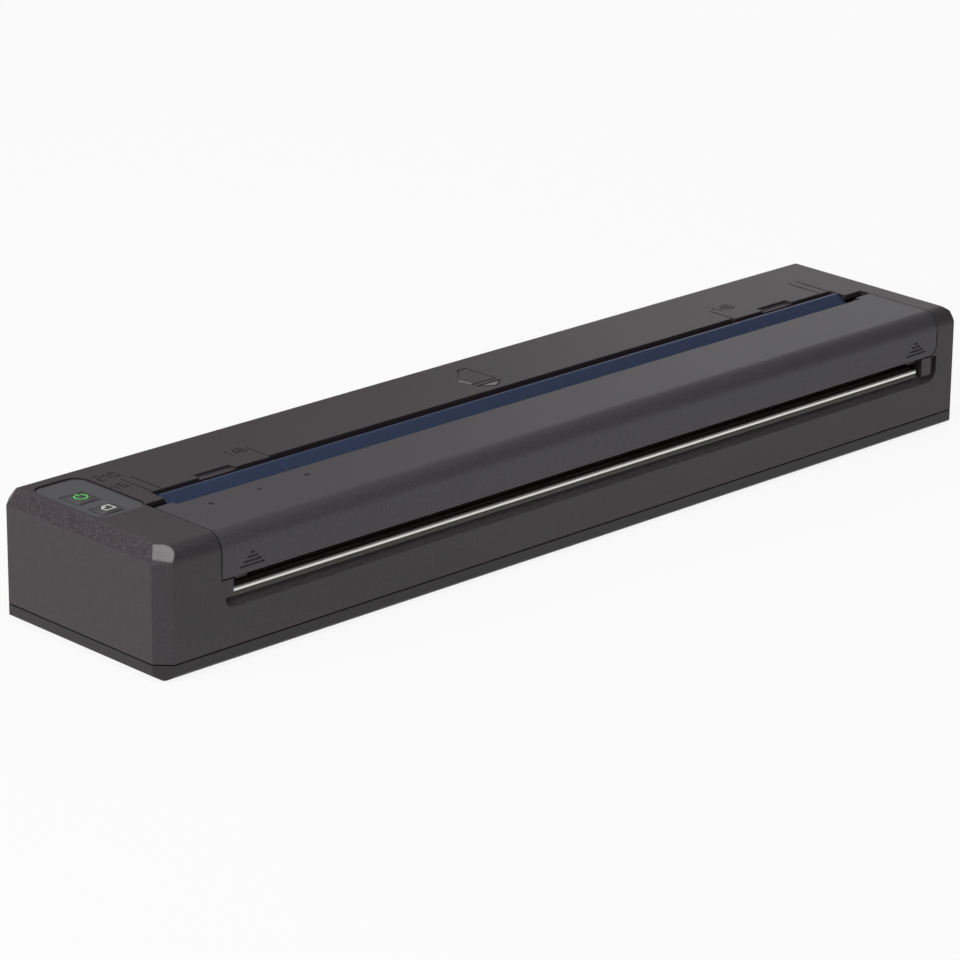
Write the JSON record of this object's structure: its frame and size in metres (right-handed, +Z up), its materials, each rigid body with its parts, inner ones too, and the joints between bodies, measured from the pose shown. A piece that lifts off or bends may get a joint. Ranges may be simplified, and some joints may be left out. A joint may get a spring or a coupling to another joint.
{
  "type": "portable thermal printer",
  "caption": "Slim bar-shaped portable thermal printer for A4 sheets, with a hinged release cover, geared platen, sprung thermal head, push buttons and an end battery door.",
  "frame": {"origin": "centre of the printer's footprint on the surface that it stands on", "axes": "+X along the printer towards its right end, -Y towards the paper exit at the front, +Z up"},
  "size_m": [0.255, 0.055, 0.03],
  "materials": {
    "case_plastic": "fine matt texture",
    "cover_plastic": "fine matt texture",
    "dark_plastic": "matt",
    "blue_plastic": "satin",
    "panel_plastic": "satin",
    "button_plastic": "satin",
    "lens_plastic": "gloss",
    "gear_plastic": "satin",
    "board": "gloss",
    "ribbon_film": "gloss",
    "battery_wrap": "satin",
    "rubber": "matt",
    "steel": "brushed",
    "brass": "plain",
    "aluminium": "satin",
    "ceramic": "glazed"
  },
  "bodies": {
    "housing": {"base_tray": "case_plastic", "rubber_feet": "rubber", "case_screws": "steel", "top_case": "case_plastic", "button_panel": "panel_plastic", "button_board": "board", "button_switches": "steel", "hinge_pins": "steel", "paper_guide": "blue_plastic", "inlet_guide": "dark_plastic", "exit_guide": "dark_plastic", "tear_bar": "steel", "mechanism_plate": "steel", "left_side_frame": "steel", "right_side_frame": "steel", "frame_screws": "steel", "platen_bushes": "gear_plastic", "gear_posts": "steel", "gear_clips": "steel", "motor_body": "steel", "head_pivot_rod": "steel", "head_springs": "steel", "head_ribbon": "ribbon_film", "paper_sensor": "dark_plastic", "cover_switch": "dark_plastic", "main_board": "board", "battery_pack": "battery_wrap", "battery_contacts": "brass", "door_pin": "steel", "port_board": "board", "power_inlet": "dark_plastic", "data_port": "steel"},
    "cover": {"release_cover": "cover_plastic", "cover_latches": "dark_plastic", "cover_lenses": "lens_plastic", "lens_board": "board"},
    "platen": {"platen_rubber": "rubber", "platen_shaft": "steel", "platen_gear": "gear_plastic"},
    "idler": {"idler_gear": "gear_plastic"},
    "compound": {"compound_gear": "gear_plastic"},
    "rotor": {"motor_shaft": "steel", "motor_pinion": "brass"},
    "head": {"thermal_head": "ceramic", "heat_sink": "aluminium"},
    "power_key": {"power_button": "button_plastic"},
    "feed_key": {"feed_button": "button_plastic"},
    "door": {"battery_door": "case_plastic"}
  },
  "joints": [
    {"name": "cover_hinge", "type": "hinge", "parent": "housing", "child": "cover", "pos_m": [0.004, -0.0032, 0.027], "axis": [-1, 0, 0], "range_deg": [0, 60]},
    {"name": "platen_spin", "type": "hinge", "parent": "housing", "child": "platen", "pos_m": [0.004, -0.0148, 0.02075], "axis": [1, 0, 0], "continuous": true},
    {"name": "idler_spin", "type": "hinge", "parent": "housing", "child": "idler", "pos_m": [-0.1096, -0.00302, 0.01526], "axis": [1, 0, 0], "continuous": true},
    {"name": "compound_spin", "type": "hinge", "parent": "housing", "child": "compound", "pos_m": [-0.1109, 0.00656, 0.01956], "axis": [1, 0, 0], "continuous": true},
    {"name": "rotor_spin", "type": "hinge", "parent": "housing", "child": "rotor", "pos_m": [-0.106, 0.015, 0.0142], "axis": [1, 0, 0], "continuous": true},
    {"name": "head_tilt", "type": "hinge", "parent": "housing", "child": "head", "pos_m": [0.004, -0.0032, 0.01245], "axis": [1, 0, 0], "range_deg": [0, 1.5], "stiffness_Nm_per_rad": 0.3, "springref_deg": -11.46, "deforming": ["head_springs", "head_ribbon"]},
    {"name": "power_press", "type": "slide", "parent": "housing", "child": "power_key", "axis": [0, 0, -1], "range_m": [0, 0.0005], "stiffness_N_per_m": 300, "springref_m": -0.0005},
    {"name": "feed_press", "type": "slide", "parent": "housing", "child": "feed_key", "axis": [0, 0, -1], "range_m": [0, 0.0005], "stiffness_N_per_m": 300, "springref_m": -0.0005},
    {"name": "door_swing", "type": "hinge", "parent": "housing", "child": "door", "pos_m": [0.1264, 0.0061, 0.0153], "axis": [0, 0, -1], "range_deg": [0, 100]}
  ],
  "couplings": [
    {"joint": "idler_spin", "follows": "platen_spin", "ratio": -0.85714},
    {"joint": "compound_spin", "follows": "platen_spin", "ratio": 1.7143},
    {"joint": "rotor_spin", "follows": "platen_spin", "ratio": -4}
  ]
}
